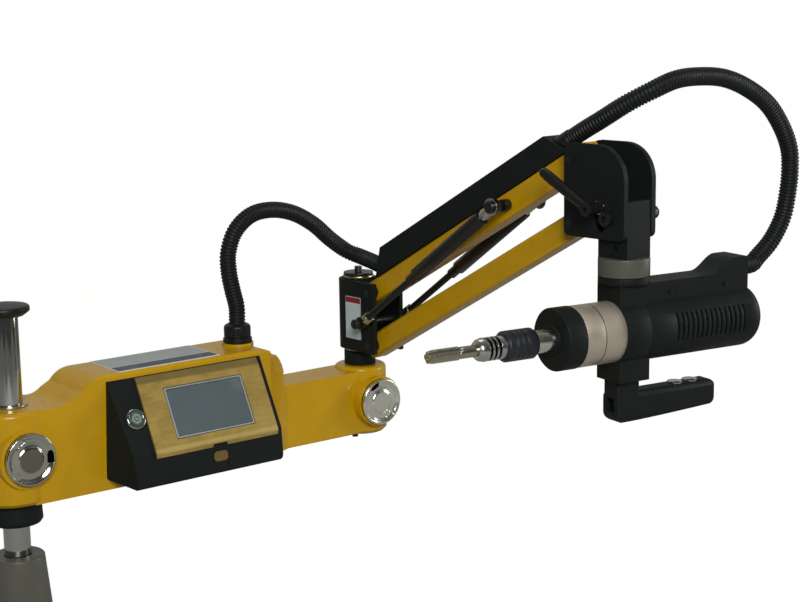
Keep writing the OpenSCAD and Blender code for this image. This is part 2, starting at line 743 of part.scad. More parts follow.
// Tapered knob on the tilt bolt's far end.
module tilt_knob() {
    y0 = cheek_in + cheek_t + gap;
    color([0.1, 0.1, 0.1]) at_tilt() rotate([-90, 0, 0]) translate([0, 0, y0]) difference() {
        rotate_extrude() polygon([[6 + run, 0], [9.5, 0], [9.5, 4], [8, 5.5], [8.7, 8], [8.3, 17],
            [7, 21.5], [4.4, 25], [0, 25.5], [0, 14], [6 + run, 14]]);
        for (i = [0:7]) rotate(i * 45) translate([9.5, 0, 7]) cylinder(r = 1.4, h = 11, $fn = 24);
    }
}

// ---- motor head ----------------------------------------------------------------

// The clamp round the motor: swivel shaft, upper block, ring and lower block.
module motor_clamp() {
    top = clamp_top_z - motor_z;
    color([0.2, 0.22, 0.21]) at_motor() difference() {
        union() {
            translate([0, 0, top - 1]) cylinder(r = 11, h = 46.5);
            translate([0, 0, top - e]) cylinder(r = ring_r, h = ring_bottom_z - clamp_top_z + e - gap);
            translate([-clamp_side / 2, -clamp_side / 2, 0]) cube([clamp_side, clamp_side, top]);
            translate([-clamp_side / 2, -clamp_side / 2, post_top]) cube([clamp_side, clamp_side, -post_top]);
            rod_x(shell_r + 0.4, -clamp_side / 2, shell_x0);
        }
        rod_x(body_r, -clamp_side, clamp_side);
        rod_x(shell_r, shell_x0, clamp_side);
    }
}

// Front collar: a short ring with a bored face and a retaining ring round the bore.
module front_collar() {
    color([0.18, 0.2, 0.19]) at_motor() translate([nose_x, 0, 0]) rotate([0, 90, 0])
        rotate_extrude($fn = 96) polygon([[spindle_r + gap, -2.4], [15.4, -2.4], [16, -1.8], [16, 0],
            [30.5, 0], [32, 1.5], [32, 22], [31, 22.6], [spindle_r + gap, 22.6]]);
}

// Aluminium gear housing in two lengths, with the seam between them.
module gear_housing() {
    seam = -45;
    color([0.75, 0.7, 0.65]) at_motor() translate([nose_x + 22.6, 0, 0]) rotate([0, 90, 0])
        rotate_extrude($fn = 96) polygon([[spindle_r + gap, 0], [body_r, 0],
            [body_r, seam - nose_x - 23.1], [body_r - 0.5, seam - nose_x - 22.6],
            [body_r, seam - nose_x - 22.1], [body_r, shell_x0 - nose_x - 22.6],
            [0, shell_x0 - nose_x - 22.6], [0, 60], [spindle_r + gap, 60]]);
}

// Motor shell: rounded rear, and a row of curved vents on each side.
module motor_shell() {
    rear_r = 16;
    wall = 3;
    len = shell_x1 - shell_x0;
    color([0.2, 0.22, 0.21]) at_motor() difference() {
        translate([shell_x0, 0, 0]) rotate([0, 90, 0]) rotate_extrude($fn = 96) polygon(concat(
            [[0, 0], [shell_r - 0.6, 0], [shell_r, 0.6]],
            arc(shell_r - rear_r, len - rear_r, rear_r, 0, 90, 9), [[0, len]]));
        // slots cut as short arcs through the wall
        for (side = [0, 180], i = [0:vents - 1])
            translate([vent_x0 + i * vent_pitch, 0, 0]) rotate([0, 90, 0])
                rotate([0, 0, side == 0 ? -120 : 69.4]) rotate_extrude(angle = 50.6)
                    translate([shell_r - wall, 0]) square([wall + 1, 2.4]);
    }
}

// The folded channel that covers the motor cable, rising to a hump at the rear.
module cable_channel() {
    half = 17;
    rise_x = 101;
    rise_end = 133;
    hump = 65;
    color([0.2, 0.22, 0.21]) at_motor() difference() {
        slab_xz(concat([[clamp_side / 2 + gap, 20], [clamp_side / 2 + gap, channel_top]],
            [for (i = [0:8]) [rise_x + (rise_end - rise_x) * i / 8,
                channel_top + (hump - channel_top) * (1 - cos(i * 22.5)) / 2]],
            arc(hump_x - 3.5, hump - 3.5, 3.5, 90, 0, 4), [[hump_x, 20]]), 2 * half);
        rod_x(shell_r, 0, 200);
        translate([hump_x, 0, hump_hole_z]) rod_x(hose_bore_r, -20, 5);
        for (s = [-1, 1], x = [48, 121]) translate([x, s * half, 38]) rod_y(1.9, -3, 3);
    }
}

module channel_screws() {
    color([0.3, 0.3, 0.3]) at_motor() for (s = [-1, 1], x = [48, 121])
        translate([x, s * 17, 38]) rotate([0, 0, s > 0 ? 0 : 180]) {
            rod_y(1.85, -2.9, 0.5);
            rod_y(2.4, 0, 1.4);
        }
}

// Handle: post under the clamp and a round-edged grip parallel to the motor.
module handle() {
    post = [-16, 13];
    half = 12;
    color([0.2, 0.22, 0.21]) at_motor() difference() {
        union() {
            intersection() {
                slab_xz(concat([[post[0], grip_top]],
                    arc(post[0] + 11, grip_bottom + 11, 11, 180, 268, 6),
                    arc(grip_len - 7, grip_bottom + 13, 7, 280, 360, 6),
                    arc(grip_len - 6, grip_top - 6, 6, 0, 90, 6)), 2 * half);
                translate([0, 0, (grip_top + grip_bottom) / 2])
                    bar_x(post[0] - 1, grip_len + 1, 2 * half, grip_top - grip_bottom, 7);
            }
            translate([(post[0] + post[1]) / 2, 0, grip_top - 12])
                linear_extrude(post_top - grip_top + 12) round_rect(post[1] - post[0], 2 * half, 3);
        }
        // seats of the two buttons and the recess in the end face
        for (x = button_x) translate([x, 0, grip_top - 13]) cylinder(r = 8 + run, h = 20);
        translate([post[0] - 1, -6, grip_bottom + 12]) cube([7, 13, 14]);
    }
}

// A domed push button; its skirt slides in the grip.
module push_button(x) {
    color("silver") at_motor() translate([x, 0, grip_top + 1]) rotate_extrude() polygon(concat(
        [[0, -10], [8, -10]], arc(0, -23.8, 25.3, 71.6, 90, 5)));
}
module button_start() { push_button(button_x[0]); }
module button_reverse() { push_button(button_x[1]); }

// ---- spindle -------------------------------------------------------------------

// Output shaft, with the shank that carries the chuck.
module spindle() {
    color("silver") at_motor() translate([nose_x, 0, 0]) rotate([0, 90, 0]) rotate_extrude() polygon([
        [0, -46], [6, -46], [6, -30], [spindle_r, -30], [spindle_r, 60], [0, 60]]);
}

// Quick-change chuck body with its grooved nose.
module tap_chuck() {
    color([0.75, 0.76, 0.78]) at_motor() translate([-180, 0, 0]) rotate([0, 90, 0])
        rotate_extrude() polygon(concat([[tap_r + e, 0], [8.6, 0], [10.8, 3], [chuck_r, 7.5]],
            [for (i = [0:2], p = [[0, 0], [0.9, -1.2], [2.9, -1.2], [3.8, 0]])
                [chuck_r + p[1], 10.6 + i * 5.2 + p[0]]],
            [[chuck_r, 60], [6, 60], [6, 42], [tap_r + e, 42]]));
}

// Sliding sleeve with three shallow grooves.
module chuck_sleeve() {
    r = 15.5;
    color([0.12, 0.13, 0.15]) at_motor() translate([-150, 0, 0]) rotate([0, 90, 0])
        rotate_extrude($fn = 96) polygon(concat([[chuck_r + run, 0], [13.2, 0], [r, 2.6]],
            [for (i = [0:2], p = [[0, 0], [1.1, -0.5], [2.2, 0]]) [r + p[1], 10 + i * 6 + p[0]]],
            [[r, 34], [13.6, 37], [chuck_r + run, 37]]));
}

// Machine tap: a plain shank, then a fluted threaded end with a tapered lead.
module tap() {
    r = 6.9;
    len = 34;
    threads = 13;
    color([0.7, 0.68, 0.62]) at_motor() translate([-235, 0, 0]) difference() {
        rotate([0, 90, 0]) rotate_extrude() polygon(concat([[0, 0], [r - 1.8, 0]],
            [for (i = [0:threads - 1]) let (w = r - 0.08 * (threads - 1 - i))
                each [[w, 1 + 2 * i], [w - 0.6, 2 + 2 * i]]],
            [[r - 0.2, 27.5], [r - 0.4, 29], [tap_r, len], [tap_r, 96], [0, 96]]));
        for (i = [0:3]) rotate([i * 90 + 45, 0, 0]) translate([-1, 8, 0]) rotate([0, 90, 0])
            cylinder(r = 3.3, h = len + 4);
    }
}

// ---- hoses ---------------------------------------------------------------------

// A point of the knuckle's frame in the world, and a point of the upper link's frame.
function world(u, q, z) = [arm_reach + u * cos(arm_turn) - q * sin(arm_turn),
    u * sin(arm_turn) + q * cos(arm_turn), z];
function link_point(x, z) = world(pivot_x + x * cos(link_rise) - z * sin(link_rise), 0,
    pivot_z + x * sin(link_rise) + z * cos(link_rise));
function inlet_end(out) = link_point(inlet.x - out * sin(facet_a), inlet.y + out * cos(facet_a));
function motor_point(x, z) = world(head_reach + x * cos(motor_turn), x * sin(motor_turn), motor_z + z);

// Each hose leaves its fittings straight and square for one diameter.
arm_route = concat([[gland_x, gland_y, gland_top_z], [gland_x, gland_y, gland_top_z + hose_d]],
    [[280.5, 3, 426], [276.5, 3, 447], [276.5, 3, 470], [287, 3, 494], [309, 3, 510], [338, 4, 513],
     [369, 6, 506], [399, 9, 490], [425, 12, 469.5], [446, 8, 453.5], [457, -7, 446.5]],
    [inlet_end(hose_d), inlet_end(gap)]);
// Bends of the motor hose in the knuckle's frame: along the arm, across it, and up.
head_bends = [[379, 3, 627], [404, 11, 643], [423, 27, 656], [433, 53, 666], [439, 84, 668], [445, 116, 665],
    [449, 149, 654], [454, 179, 636], [456, 202, 612], [458, 215, 587], [458, 218, 562], [457, 216, 537],
    [456, 209, 512], [453, 194, 489], [448, 176, 472]];
head_route = concat([link_point(outlet.x, outlet.y), link_point(outlet.x + hose_d, outlet.y)],
    [for (p = head_bends) world(p[0], p[1], p[2])],
    [motor_point(hump_x + hose_d, hump_hole_z), motor_point(hump_x + gap, hump_hole_z)]);

// Point and direction at parameter t along a Catmull-Rom curve through p.
function knot(p, i) = p[min(max(i, 0), len(p) - 1)];
function on_curve(p, t) =
    let (i = min(floor(t), len(p) - 2), s = t - i, a = knot(p, i - 1), b = knot(p, i),
        c = knot(p, i + 1), d = knot(p, i + 2))
    0.5 * (2 * b + (c - a) * s + (2 * a - 5 * b + 4 * c - d) * s * s
        + (3 * b - a - 3 * c + d) * s * s * s);

// A ring of 8 points, radius r, square to the curve at t.
function ring(p, t, r) =
    let (h = 0.02, lo = max(t - h, 0), hi = min(t + h, len(p) - 1),
        dir = on_curve(p, hi) - on_curve(p, lo), z = dir / norm(dir),
        x = cross([0.3, 1, 0.2], z), u = x / norm(x), v = cross(z, u), c = on_curve(p, t))
    [for (k = [0:7]) c + r * (cos(45 * k) * u + sin(45 * k) * v)];

// Triangles between ring m and ring n, whose first points are given.
function band(m, n) = [for (k = [0:7]) let (j = (k + 1) % 8)
    each [[m + k, n + k, n + j], [m + k, n + j, m + j]]];

// A ribbed hose with its bore: two outer rings a rib and a plain inner wall.
module ribbed_hose(route, ribs) {
    span = len(route) - 1;
    outer = 2 * ribs;
    inner = 2 * span;
    points = concat(
        [for (i = [0:outer]) each ring(route, span * i / outer, i % 2 == 0 ? hose_r - rib_depth : hose_r)],
        [for (i = [0:inner]) each ring(route, span * i / inner, hose_bore_r)]);
    first_inner = 8 * (outer + 1);
    polyhedron(points, concat(
        [for (i = [0:outer - 1]) each band(8 * i, 8 * (i + 1))],
        [for (i = [0:inner - 1]) each band(first_inner + 8 * (i + 1), first_inner + 8 * i)],
        band(first_inner, 0),
        band(8 * outer, first_inner + 8 * inner)));
}

module hose_arm() { color([0.25, 0.27, 0.27]) ribbed_hose(arm_route, arm_hose_ribs); }
module hose_head() { color([0.25, 0.27, 0.27]) ribbed_hose(head_route, head_hose_ribs); }

base_plate();
column_socket();
column_rod();
column_cap();
support_collar();
arm_casting();
column_bushes();
bearing_cap_left();
bearing_cap_right();
panel_housing();
panel_bezel();
screen_frame();
screen_glass();
power_ring();
power_button();
port_tab();
arm_screws();
top_plate();
hose_gland();
arm_lock_knob();
knuckle_shaft();
knuckle_rings();
knuckle_bracket();
knuckle_disc();
knuckle_pins();
spring_cross_rod();
knuckle_plate();
upper_link();
cable_cover();
cover_grommet();
spring_bosses();
lower_link();
gas_rod_near();
gas_tube_near();
gas_rod_far();
gas_tube_far();
head_bracket();
head_pins();
tilt_bolt();
tilt_block();
swivel_ring();
clamp_stud();
clamp_lever();
tilt_knob();
motor_clamp();
front_collar();
gear_housing();
motor_shell();
cable_channel();
channel_screws();
handle();
button_start();
button_reverse();
spindle();
tap_chuck();
chuck_sleeve();
tap();
hose_arm();
hose_head();
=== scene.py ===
"""An arm tapping machine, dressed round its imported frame. Lengths below are in millimetres until put()."""

import json

import bmesh
import bpy
import numpy as np
from mathutils import Matrix


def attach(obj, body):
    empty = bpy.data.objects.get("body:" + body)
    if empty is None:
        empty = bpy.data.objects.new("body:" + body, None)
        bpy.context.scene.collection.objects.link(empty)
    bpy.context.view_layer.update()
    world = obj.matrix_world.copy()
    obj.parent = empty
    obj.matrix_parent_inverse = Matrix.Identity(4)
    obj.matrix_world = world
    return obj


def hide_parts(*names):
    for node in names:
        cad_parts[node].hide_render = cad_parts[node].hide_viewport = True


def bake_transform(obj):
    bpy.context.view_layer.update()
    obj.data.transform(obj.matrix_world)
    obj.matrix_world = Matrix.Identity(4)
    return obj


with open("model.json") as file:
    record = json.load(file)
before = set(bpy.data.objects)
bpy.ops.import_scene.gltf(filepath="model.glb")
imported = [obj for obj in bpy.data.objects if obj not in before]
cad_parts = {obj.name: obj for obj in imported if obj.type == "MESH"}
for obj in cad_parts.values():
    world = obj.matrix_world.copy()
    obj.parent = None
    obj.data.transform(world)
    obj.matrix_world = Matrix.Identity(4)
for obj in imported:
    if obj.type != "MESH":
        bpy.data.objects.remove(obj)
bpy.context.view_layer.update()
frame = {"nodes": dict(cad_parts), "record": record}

nodes = frame["nodes"]
MM = 0.001

# ---- camera: the photograph's, fitted to the machine's edges -------------------

CAMERA_AT = (-0.71917, -1.57186, 0.75588)
CAMERA_AXES = np.array(
    [
        [0.78181518, -0.62333966, -0.01458435],
        [0.12517859, 0.13400314, 0.98304297],
        [-0.61081532, -0.77038356, 0.18279446],
    ]
)
CAMERA_LENS = 73.8
CAMERA_FILM = 36
CAMERA_NEAREST = 0.05


def stand(thing, axes, at):
    """Stands an object at a place in metres, turned to three axes, one a row."""
    thing.matrix_world = Matrix([[*axes[:, k], at[k]] for k in range(3)] + [[0, 0, 0, 1]])


camera = bpy.data.objects.new("camera", bpy.data.cameras.new("camera"))
bpy.context.collection.objects.link(camera)
stand(camera, CAMERA_AXES, CAMERA_AT)
camera.data.lens = CAMERA_LENS
camera.data.sensor_width = CAMERA_FILM
camera.data.clip_start = CAMERA_NEAREST
bpy.context.scene.camera = camera


# ---- places --------------------------------------------------------------------


def place(origin, x_axis, z_axis):
    """A frame: its origin in mm and three rows, the x, y and z axes."""
    x, z = np.array(x_axis, float), np.array(z_axis, float)
    x, z = x / np.linalg.norm(x), z / np.linalg.norm(z)
    return np.array(origin, float), np.array([x, np.cross(z, x), z])


def inside(outer, origin, x_axis, z_axis):
    """A frame given in another frame's coordinates."""
    o, axes = outer
    p, rows = place(origin, x_axis, z_axis)
    return o + p @ axes, rows @ axes


def heading(degrees):
    """The level direction at an angle from x."""
    return np.array([np.cos(np.radians(degrees)), np.sin(np.radians(degrees)), 0])


ARM_REACH, ARM_TURN = 457, -86
PIVOT_X, UPPER_Z, LINK_RISE = 41.5, 410, np.radians(29)
HEAD_REACH, MOTOR_Z, MOTOR_TURN = 412, 414.5, 78
STUD_X, STUD_Z, STUD_SIDE, BOSS_X = 43, 375.5, 33, 250
PANEL_LEAN = np.radians(28)

WORLD = place((0, 0, 0), (1, 0, 0), (0, 0, 1))
KNUCKLE = place((ARM_REACH, 0, 0), heading(ARM_TURN), (0, 0, 1))
RISE = np.array([np.cos(LINK_RISE), 0, np.sin(LINK_RISE)])
UPPER_LINK = inside(KNUCKLE, (PIVOT_X, 0, UPPER_Z), RISE, (-RISE[2], 0, RISE[0]))
HEAD = inside(KNUCKLE, (HEAD_REACH, 0, 0), (1, 0, 0), (0, 0, 1))
MOTOR = inside(HEAD, (0, 0, MOTOR_Z), heading(MOTOR_TURN), (0, 0, 1))
SPINDLE_AXIS = inside(MOTOR, (0, 0, 0), (0, 1, 0), (1, 0, 0))
SPRING_CLIMB = UPPER_Z + BOSS_X * RISE[2] - STUD_Z
SPRING_RUN = PIVOT_X + BOSS_X * RISE[0] - STUD_X
SPRING_RISE = np.arctan2(SPRING_CLIMB, SPRING_RUN)
SPRING_LENGTH = np.hypot(SPRING_CLIMB, SPRING_RUN)
PANEL = place((205, -60, 315), (1, 0, 0), (0, -np.cos(PANEL_LEAN), np.sin(PANEL_LEAN)))
POWER = inside(PANEL, (-90.5, 1.2, 0), (1, 0, 0), (0, 0, 1))
LEFT_CAP = place((0, -41, 290), (1, 0, 0), (0, -1, 0))
RIGHT_CAP = place((ARM_REACH, -38, 275), (1, 0, 0), (0, -1, 0))
SIDE_PLATE = inside(KNUCKLE, (17, -23.5, 377), (1, 0, 0), (0, -1, 0))
TOP_PLATE = place((175, 0, 363), (1, 0, 0), (0, 0, 1))


def in_frame(points, where):
    """Points in mm in a frame, as metres in the world: origin + p . axes."""
    origin, axes = where
    return (origin + np.asarray(points, float) @ axes) * MM


def in_world(where, *p):
    """A point in a frame, still in mm, as the world has it."""
    return (where[0] + np.array(p, float) @ where[1]).tolist()


# ---- surfaces ------------------------------------------------------------------

MERGE = 1e-7
THINNEST = 1e-8
LATHE_STEPS = 96
SHORTEST_FLAT = 0.48
ASLANT = (0.3, 1, 0.2)


def put(name, grid, where, finish, body, ring=False, sharp=34, stands_for=()):
    """A surface from a grid of points, ring i and point j: quads between neighbours round each ring. A flat
    cap closes both ends, unless ring joins the last ring to the first."""
    rows, cols = grid.shape[:2]
    points = in_frame(grid, where).reshape(-1, 3)
    i = np.arange(rows if ring else rows - 1)[:, None]
    j = np.arange(cols)[None, :]
    i2, j2 = (i + 1) % rows, (j + 1) % cols
    quads = np.stack([i * cols + j, i * cols + j2, i2 * cols + j2, i2 * cols + j], -1).reshape(-1, 4)
    faces = quads.tolist()
    if not ring:
        faces += [list(range(cols))[::-1], [(rows - 1) * cols + k for k in range(cols)]]
    mesh = bpy.data.meshes.new(name)
    mesh.from_pydata(points.tolist(), [], faces)
    return settle(name, mesh, finish, body, sharp, stands_for)


def settle(name, mesh, finish, body, sharp, stands_for):
    """Closes a mesh, shades it smooth between sharp edges, paints it and rides it on its body."""
    work = bmesh.new()
    work.from_mesh(mesh)
    bmesh.ops.remove_doubles(work, verts=work.verts, dist=MERGE)
    bmesh.ops.dissolve_degenerate(work, edges=work.edges, dist=THINNEST)
    bmesh.ops.recalc_face_normals(work, faces=work.faces)
    work.to_mesh(mesh)
    work.free()
    mesh.shade_smooth()
    mesh.set_sharp_from_angle(angle=np.radians(sharp))
    mesh.materials.append(finish)
    piece = bpy.data.objects.new(name, mesh)
    bpy.context.collection.objects.link(piece)
    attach(piece, body)
    if stands_for:
        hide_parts(*stands_for)
    return piece


def soften(points, radius, steps=4, closed=False):
    """A polyline with each corner replaced by a short quadratic curve that cuts radius off both sides."""
    p = np.asarray(points, float)
    n = len(p)
    t = np.linspace(0, 1, steps + 1)[:, None]
    out = []
    for k in range(n):
        if not closed and k in (0, n - 1):
            out.append(p[k : k + 1])
            continue
        a, b, c = p[k - 1], p[k], p[(k + 1) % n]
        la, lc = np.linalg.norm(a - b), np.linalg.norm(c - b)
        cut_a, cut_c = min(radius, la * SHORTEST_FLAT), min(radius, lc * SHORTEST_FLAT)
        s, e = b + (a - b) * cut_a / la, b + (c - b) * cut_c / lc
        out.append((1 - t) ** 2 * s + 2 * t * (1 - t) * b + t**2 * e)
    return np.concatenate(out)


def turned(name, profile, where, finish, body, soft=0.4, ring=False):
    """A lathe form: profile points (radius, height) turned about the frame's z axis."""
    line = soften(profile, soft, closed=ring)
    a = np.linspace(0, 2 * np.pi, LATHE_STEPS, endpoint=False)
    r, z = line[:, 0][:, None], line[:, 1][:, None]
    grid = np.stack([r * np.cos(a), r * np.sin(a), z + 0 * a], -1)
    return put(name, grid, where, finish, body, ring=ring)


def inset(outline, d):
    """An outline moved inwards by d along the mitre of its two edges. Anticlockwise outlines."""
    nxt, prv = np.roll(outline, -1, 0) - outline, outline - np.roll(outline, 1, 0)
    n1 = np.stack([prv[:, 1], -prv[:, 0]], -1) / np.linalg.norm(prv, axis=1)[:, None]
    n2 = np.stack([nxt[:, 1], -nxt[:, 0]], -1) / np.linalg.norm(nxt, axis=1)[:, None]
    m = (n1 + n2) / (1 + (n1 * n2).sum(1))[:, None]
    return outline - d * m


def slab(name, outline, z0, z1, edge, where, finish, body):
    """A flat piece: an outline in x-y between two heights, with quarter-round edges."""
    low = [(edge * (1 - np.sin(a)), z0 + edge * (1 - np.cos(a))) for a in np.linspace(0, np.pi / 2, 4)]
    levels = low + [(d, z0 + z1 - z) for d, z in low[::-1]]
    grid = np.stack([np.column_stack([inset(outline, d), np.full(len(outline), z)]) for d, z in levels])
    return put(name, grid, where, finish, body)


def catmull(points, per):
    """A smooth curve through points, per steps between neighbours: the Catmull-Rom cubic of each four."""
    p = np.asarray(points, float)
    t = np.linspace(0, len(p) - 1, per * (len(p) - 1) + 1)
    i = np.minimum(t.astype(int), len(p) - 2)
    s = (t - i)[:, None]
    a, b, c, d = (p[np.clip(i + k, 0, len(p) - 1)] for k in (-1, 0, 1, 2))
    return 0.5 * (2 * b + (c - a) * s + (2 * a - 5 * b + 4 * c - d) * s**2 + (3 * b - a - 3 * c + d) * s**3)


def along(line, step):
    """The curve resampled at equal steps of length, and each new point's length along it."""
    d = np.r_[0, np.cumsum(np.linalg.norm(np.diff(line, axis=0), axis=1))]
    n = max(int(round(d[-1] / step)), 4)
    s = np.linspace(0, d[-1], n + 1)
    return np.stack([np.interp(s, d, line[:, k]) for k in range(3)], -1), s


def tube(line, radius, n):
    """Rings square to a line of points: frames carried along it with the least twist, one radius a point."""
    t = np.gradient(line, axis=0)
    t /= np.linalg.norm(t, axis=1)[:, None]
    u = np.zeros_like(t)
    first = np.cross(t[0], ASLANT)
    u[0] = first / np.linalg.norm(first)
    for k in range(1, len(t)):
        v = u[k - 1] - t[k] * (u[k - 1] @ t[k])
        u[k] = v / np.linalg.norm(v)
    w = np.cross(t, u)
    a = np.linspace(0, 2 * np.pi, n, endpoint=False)
    r = np.asarray(radius, float)[:, None]
    across, over = (r * np.cos(a))[..., None], (r * np.sin(a))[..., None]
    return line[:, None, :] + across * u[:, None, :] + over * w[:, None, :]


# ---- finishes ------------------------------------------------------------------

PATCHES, CLOUDS, STREAKS = 35.0, 42.0, 240.0
MOTTLE = PATCHES * 2.3
ON_EDGE, AT_PIT, AT_BAND = 0.1, 0.3, 1.2
LATHE_FADE = 0.15


def srgb(r, g, b):
    """A colour from 8-bit display values, as linear light."""
    c = np.array([r, g, b]) / 255
    return tuple(np.where(c <= 0.04045, c / 12.92, ((c + 0.055) / 1.055) ** 2.4)) + (1,)


def tint(colour, k):
    """A colour times k, held at white."""
    return tuple(min(c * k, 1) for c in colour[:3]) + (1,)


def feed(tree, socket, source):
    """Joins an output to a socket, or sets the socket where the source is a plain value."""
    if hasattr(source, "is_output"):
        tree.links.new(source, socket)
    else:
        socket.default_value = source


def add(tree, kind, sockets=(), **settings):
    """Adds a shader node: settings are its own, and sockets pairs its inputs with their sources."""
    n = tree.nodes.new(kind)
    for key, value in settings.items():
        setattr(n, key, value)
    for socket, source in sockets:
        feed(tree, n.inputs[socket], source)
    return n


# PIT_SHADE is painted shade for the deepest slots; SEAM_DARK is the dark line of a joint.
PIT_SHADE, SEAM_DARK, SEAM_HALF = srgb(14, 14, 12), srgb(20, 18, 14), 0.5


class Finish:
    """A material under construction, with short ways to add nodes."""

    def __init__(self, name, slot):
        self.mat = bpy.data.materials.new(name)
        self.mat.use_nodes = True
        self.mat["record_slot"] = slot
        self.tree = self.mat.node_tree
        self.shader = self.tree.nodes["Principled BSDF"]
        self.coords = add(self.tree, "ShaderNodeTexCoord").outputs["Object"]

    def noise(self, scale, detail=2.0, rough=0.5, coords=None):
        """Cloudy noise, scale clouds to a metre."""
        sockets = [("Vector", coords or self.coords), ("Scale", scale)]
        sockets += [("Detail", detail), ("Roughness", rough)]
        return add(self.tree, "ShaderNodeTexNoise", sockets).outputs["Fac"]

    def stretched(self, scale, where, stretch):
        """Noise on the frame's own axes, each multiplied by stretch, as rolling or brushing leaves it."""
        scaled = [(k, self.math(v, stretch[k], "MULTIPLY")) for k, v in enumerate(self.local(where))]
        joined = add(self.tree, "ShaderNodeCombineXYZ", scaled).outputs[0]
        return self.noise(scale, 3.0, 0.6, joined)

    def local(self, where):
        """The point in a frame's own axes, in metres: one value for each axis."""
        origin, axes = where
        kind = "ShaderNodeVectorMath"
        centre = tuple(origin * MM)
        moved = add(self.tree, kind, [(0, self.coords), (1, centre)], operation="SUBTRACT").outputs[0]
        dots = [add(self.tree, kind, [(0, moved), (1, tuple(a))], operation="DOT_PRODUCT") for a in axes]
        return [dot.outputs["Value"] for dot in dots]

    def reach(self, x, y):
        """The distance from a frame's z axis: the root of x squared plus y squared."""
        return self.math(self.math(self.math(x, 2.0, "POWER"), self.math(y, 2.0, "POWER")), 0.5, "POWER")

    def within(self, y, low, high):
        """How far inside a band y lies: the lesser distance from its edges, which are in mm."""
        return self.math(self.math(y, low * MM, "SUBTRACT"), self.math(high * MM, y, "SUBTRACT"), "MINIMUM")

    def spread(self, source, low, high, from_low=0.3, from_high=0.7):
        """The source's range from_low to from_high laid on low to high, and held at both ends."""
        ends = [("From Min", from_low), ("From Max", from_high), ("To Min", low), ("To Max", high)]
        return add(self.tree, "ShaderNodeMapRange", [("Value", source)] + ends).outputs["Result"]

    def step(self, source, edge, fade, before=0, after=1):
        """One value before an edge and another after it, faded to each side. Edge and fade are in mm."""
        return self.spread(source, before, after, (edge - fade) * MM, (edge + fade) * MM)

    def blend(self, amount, a, b):
        """Colour a where amount is 0 and b where it is 1."""
        return add(self.tree, "ShaderNodeMix", [(0, amount), (6, a), (7, b)], data_type="RGBA").outputs[2]

    def math(self, a, b, how="ADD"):
        return add(self.tree, "ShaderNodeMath", [(0, a), (1, b)], operation=how).outputs[0]

    def to(self, socket, source):
        feed(self.tree, self.shader.inputs[socket], source)

    def bump(self, height, distance):
        n = add(self.tree, "ShaderNodeBump", [("Height", height), ("Distance", distance), ("Strength", 1.0)])
        self.to("Normal", n.outputs[0])


def coating(name, slot, colour, rough, grain, depth, shade=0.1, coat=0.0, metal=0.0, spread=0.06, gloss=0.5):
    """Paint or plastic: slow shading patches, a fine grain in the surface, and rougher and smoother areas."""
    f = Finish(name, slot)
    slow = f.noise(PATCHES, 3.0)
    f.to("Base Color", f.blend(f.spread(slow, 0, 1), tint(colour, 1 - shade), tint(colour, 1 + shade)))
    f.to("Roughness", f.spread(f.noise(MOTTLE, 4.0, 0.6), rough - spread, rough + spread))
    f.to("Metallic", metal)
    f.to("Coat Weight", coat)
    f.to("Coat Roughness", 0.1)
    f.to("Specular IOR Level", gloss)
    f.bump(f.noise(grain, 3.0, 0.55), depth)
    return f.mat


def lathed(
    name, slot, colour, rough, where, pitch=0.35, depth=0.000012, metal=1.0, shade=0.1, pit=None, groove=None,
    seam=None
):
    """Turned metal: fine rings about the frame's axis, which also vary colour and roughness. It is painted
    near black below
    the height pit, in mm along the axis, as painted shade in deep slots, and has groove's colour where groove
    says:
    nearer to the axis than its radius and beyond its height, both in mm. A dark line goes round it at the
    height seam."""
    f = Finish(name, slot)
    x, y, z = f.local(where)
    radius = f.reach(x, y)
    count = f.math(f.math(radius, z), 1 / MM / pitch, "MULTIPLY")
    sockets = [("W", count), ("Scale", 1.0), ("Detail", 3.0), ("Roughness", 0.6)]
    rings = add(f.tree, "ShaderNodeTexNoise", sockets, noise_dimensions="1D").outputs["Fac"]
    face = f.blend(f.spread(rings, 0, 1), tint(colour, 1 - shade), tint(colour, 1 + shade))
    # Painted shade: near black below the height pit, in the deepest slots and on the hidden back.
    if pit is not None:
        face = f.blend(f.step(z, pit, AT_PIT, 1, 0), face, PIT_SHADE)
    # groove's colour: painted shade in the chuck's grooves, and a darker centre disc on the left cap.
    if groove is not None:
        widest, lowest, tone = groove
        both = f.math(f.step(radius, widest, LATHE_FADE, 1, 0), f.step(z, lowest, LATHE_FADE), "MULTIPLY")
        face = f.blend(both, face, tone)
    if seam is not None:
        off = f.math(f.math(z, seam * MM, "SUBTRACT"), 0.0, "ABSOLUTE")
        face = f.blend(f.step(off, SEAM_HALF, ON_EDGE, 1, 0), face, SEAM_DARK)
    f.to("Base Color", face)
    slow = f.noise(60.0, 3.0)
    f.to("Roughness", f.math(f.spread(rings, rough - 0.05, rough + 0.05), f.spread(slow, -0.04, 0.06)))
    f.to("Metallic", metal)
    f.bump(rings, depth)
    return f.mat


def brushed(name, slot, colour, rough, where, stretch, shade, metal, bands):
    """Sheet metal: streaks along one axis of a frame over slow cloudy patches, in colour and in roughness.
    bands lists bands of painted shade and painted highlight across it: the lower and upper y in mm, the
    colour and how much of it shows."""
    f = Finish(name, slot)
    streaks = f.stretched(STREAKS, where, stretch)
    clouds = f.noise(CLOUDS, 4.0, 0.6)
    both = f.math(f.math(streaks, 0.45, "MULTIPLY"), f.math(clouds, 0.55, "MULTIPLY"))
    face = f.blend(f.spread(both, 0, 1, 0.38, 0.62), tint(colour, 1 - shade), tint(colour, 1 + shade))
    y = f.local(where)[1]
    # Each band lays a painted shade or painted highlight colour over the streaks.
    for low, high, tone, amount in bands:
        face = f.blend(f.step(f.within(y, low, high), 0, AT_BAND, 0, amount), face, tone)
    f.to("Base Color", face)
    f.to("Roughness", f.spread(both, rough - 0.07, rough + 0.07, 0.35, 0.65))
    f.to("Metallic", metal)
    f.bump(streaks, 0.00001)
    return f.mat


